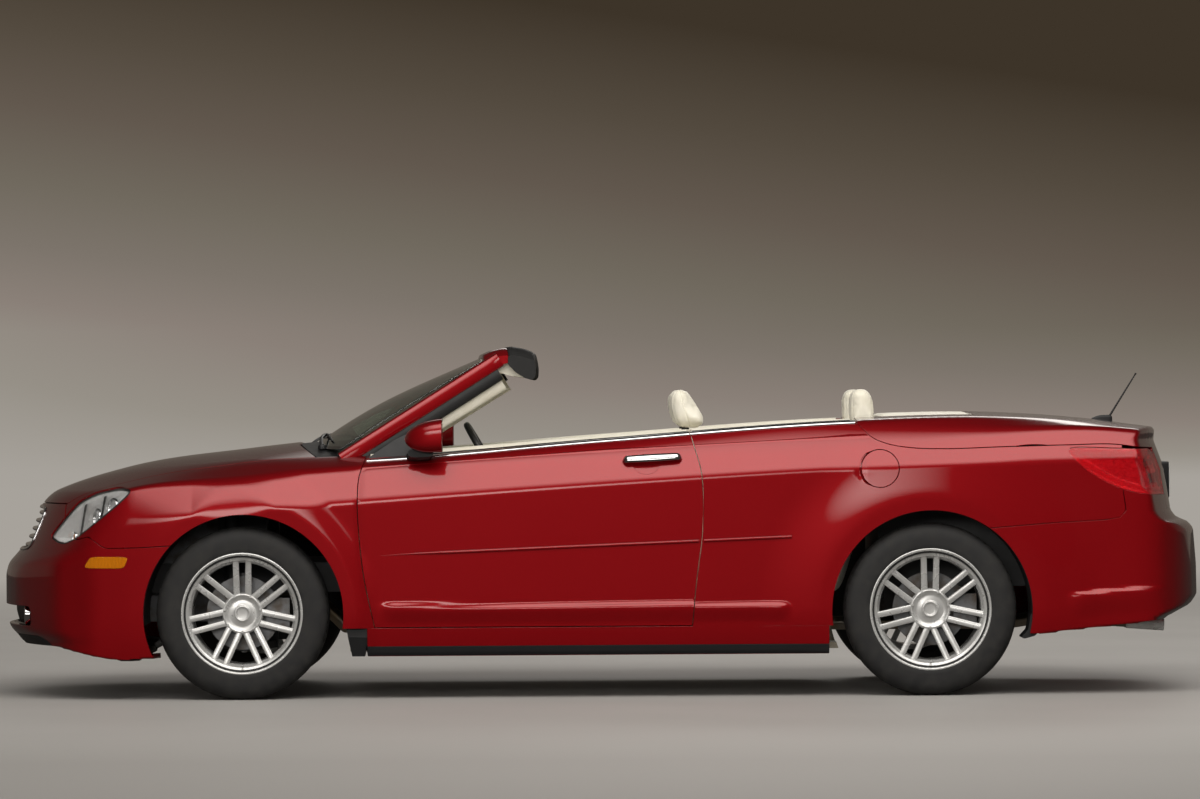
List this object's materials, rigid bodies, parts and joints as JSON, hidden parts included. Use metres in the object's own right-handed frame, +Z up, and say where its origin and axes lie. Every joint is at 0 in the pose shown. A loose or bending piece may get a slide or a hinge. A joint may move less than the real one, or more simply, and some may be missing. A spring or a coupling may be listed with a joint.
{
  "type": "convertible car",
  "caption": "Open convertible car with hinged doors, hood, deck lid and fuel door, a steering wheel coupled to the front wheels, and rolling wheels.",
  "frame": {"origin": "on the floor, under the middle of the car in length and width", "axes": "+X runs from nose to tail, +Y to the car's right, +Z up"},
  "size_m": [4.926, 2.02, 1.417],
  "materials": {
    "black_plastic": "grained",
    "iron": "machined",
    "cream_trim": "soft grained",
    "paint": "metallic clearcoat",
    "chrome": "polished",
    "rubber": "matte",
    "steel": "bare",
    "structure": "black primer",
    "leather": "satin",
    "lamp_clear": "clear",
    "plate": "satin white, blank",
    "alloy": "polished",
    "lamp_red": "gloss",
    "tyre": "matte",
    "glass": "clear, green tint"
  },
  "bodies": {
    "car_body": {"center_console": "cream_trim", "cowl": "black_plastic", "dashboard": "cream_trim", "door_seals": "rubber", "engine": "iron", "exhaust": "steel", "floor_pan": "structure", "front_bumper": "paint", "front_fenders": "paint", "front_seats": "leather", "front_structure": "structure", "front_suspension": "structure", "grille": "chrome", "headlamps": "lamp_clear", "mud_flaps": "black_plastic", "rear_bumper": "paint", "rear_quarters": "paint", "rear_seat": "leather", "rear_suspension": "iron", "side_trims": "cream_trim", "sills": "paint", "tail_lamps": "lamp_red", "tonneau_panel": "cream_trim", "trunk_tub": "structure", "wheelhouse_liners": "black_plastic", "windshield_frame": "paint", "windshield_glass": "glass", "wipers": "black_plastic"},
    "door_left": {"door_left": "paint", "door_trim_left": "cream_trim", "door_brightwork_left": "chrome", "mirror_left": "paint"},
    "door_right": {"door_right": "paint", "door_trim_right": "cream_trim", "door_brightwork_right": "chrome", "mirror_right": "paint"},
    "hood": {"hood": "paint"},
    "deck_lid": {"deck_lid": "paint", "rear_plate": "plate", "antenna_mast": "black_plastic"},
    "fuel_door": {"fuel_door": "paint"},
    "steering_wheel": {"steering_wheel": "leather"},
    "knuckle_left": {"knuckle_left": "iron"},
    "knuckle_right": {"knuckle_right": "iron"},
    "wheel_front_left": {"rim_front_left": "alloy", "tyre_front_left": "tyre", "brake_disc_front_left": "iron"},
    "wheel_front_right": {"rim_front_right": "alloy", "tyre_front_right": "tyre", "brake_disc_front_right": "iron"},
    "wheel_rear_left": {"rim_rear_left": "alloy", "tyre_rear_left": "tyre", "brake_disc_rear_left": "iron"},
    "wheel_rear_right": {"rim_rear_right": "alloy", "tyre_rear_right": "tyre", "brake_disc_rear_right": "iron"}
  },
  "joints": [
    {"name": "door_left_hinge", "type": "hinge", "parent": "car_body", "child": "door_left", "pos_m": [-0.957, -0.906, 0.6], "axis": [0, 0, -1], "range_deg": [0, 65]},
    {"name": "door_right_hinge", "type": "hinge", "parent": "car_body", "child": "door_right", "pos_m": [-0.957, 0.906, 0.6], "axis": [0, 0, 1], "range_deg": [0, 65]},
    {"name": "hood_hinge", "type": "hinge", "parent": "car_body", "child": "hood", "pos_m": [-1.144, 0, 0.98], "axis": [0, 1, 0], "range_deg": [0, 48]},
    {"name": "deck_lid_hinge", "type": "hinge", "parent": "car_body", "child": "deck_lid", "pos_m": [1.037, 0, 1.116], "axis": [0, -1, 0], "range_deg": [0, 55]},
    {"name": "fuel_door_hinge", "type": "hinge", "parent": "car_body", "child": "fuel_door", "pos_m": [1.0515, -0.9085, 0.914], "axis": [0, 0, -1], "range_deg": [0, 95]},
    {"name": "steer_left", "type": "hinge", "parent": "car_body", "child": "knuckle_left", "pos_m": [-1.44, -0.73, 0.347], "axis": [0, 0, 1], "range_deg": [-33, 33]},
    {"name": "steer_right", "type": "hinge", "parent": "car_body", "child": "knuckle_right", "pos_m": [-1.44, 0.73, 0.347], "axis": [0, 0, 1], "range_deg": [-33, 33]},
    {"name": "steering_wheel_turn", "type": "hinge", "parent": "car_body", "child": "steering_wheel", "pos_m": [-0.456, -0.37, 0.945], "axis": [0.866, 0, 0.5], "range_deg": [-465, 465]},
    {"name": "wheel_front_left_spin", "type": "hinge", "parent": "knuckle_left", "child": "wheel_front_left", "pos_m": [-1.44, -0.785, 0.347], "axis": [0, 1, 0], "continuous": true},
    {"name": "wheel_front_right_spin", "type": "hinge", "parent": "knuckle_right", "child": "wheel_front_right", "pos_m": [-1.44, 0.785, 0.347], "axis": [0, 1, 0], "continuous": true},
    {"name": "wheel_rear_left_spin", "type": "hinge", "parent": "car_body", "child": "wheel_rear_left", "pos_m": [1.325, -0.785, 0.347], "axis": [0, 1, 0], "continuous": true},
    {"name": "wheel_rear_right_spin", "type": "hinge", "parent": "car_body", "child": "wheel_rear_right", "pos_m": [1.325, 0.785, 0.347], "axis": [0, 1, 0], "continuous": true}
  ],
  "couplings": [
    {"joint": "steer_right", "follows": "steer_left", "ratio": 1},
    {"joint": "steering_wheel_turn", "follows": "steer_left", "ratio": 14}
  ]
}
